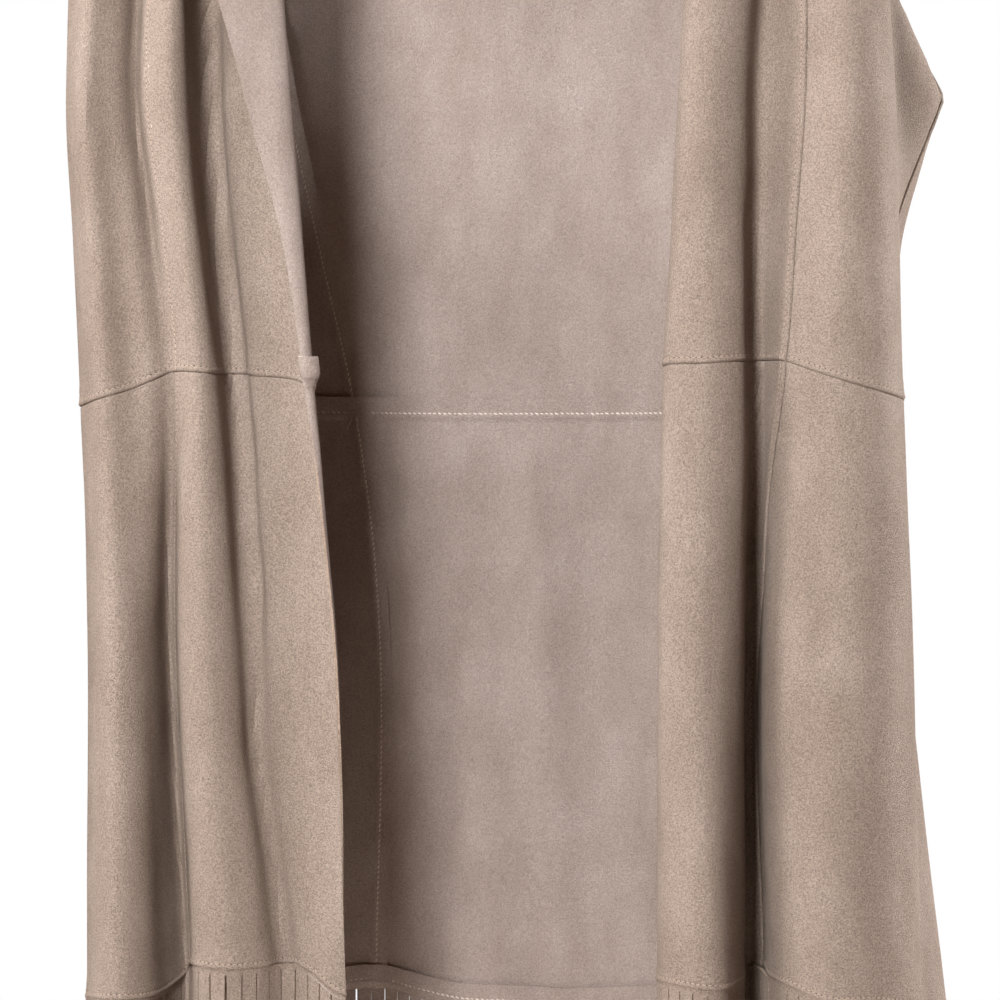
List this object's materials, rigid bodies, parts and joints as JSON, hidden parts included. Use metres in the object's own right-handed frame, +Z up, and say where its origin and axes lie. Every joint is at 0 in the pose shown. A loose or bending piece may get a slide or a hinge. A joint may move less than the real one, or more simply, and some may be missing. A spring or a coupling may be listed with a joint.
{
  "type": "long fringed suede vest",
  "caption": "Long sleeveless open-front suede vest in one unlined layer, hanging hollow in soft folds, with a waist seam, princess seams and a cut fringe along the hem",
  "frame": {"origin": "at the neck, midway between the neck ends of the two shoulder seams and level with them, where the wearer's shoulders hold the vest up", "axes": "+Z up, -Y the front of the vest, -X the wearer's right side"},
  "size_m": [0.5135, 0.2259, 0.9246],
  "materials": {
    "suede": "matte napped suede, light taupe, fine grain",
    "suede_fringe": "matte napped suede, light taupe, with raw cut edges"
  },
  "bodies": {
    "root": {"front_centre_upper_right": "suede", "front_centre_lower_right": "suede", "fringe_front_centre_right": "suede_fringe", "front_side_upper_right": "suede", "front_side_lower_right": "suede", "fringe_front_side_right": "suede_fringe", "back_side_upper_right": "suede", "back_side_lower_right": "suede", "fringe_back_side_right": "suede_fringe", "back_centre_upper": "suede", "back_centre_lower": "suede", "fringe_back_centre": "suede_fringe", "back_side_upper_left": "suede", "back_side_lower_left": "suede", "fringe_back_side_left": "suede_fringe", "front_side_upper_left": "suede", "front_side_lower_left": "suede", "fringe_front_side_left": "suede_fringe", "front_centre_upper_left": "suede", "front_centre_lower_left": "suede", "fringe_front_centre_left": "suede_fringe"}
  },
  "joints": []
}
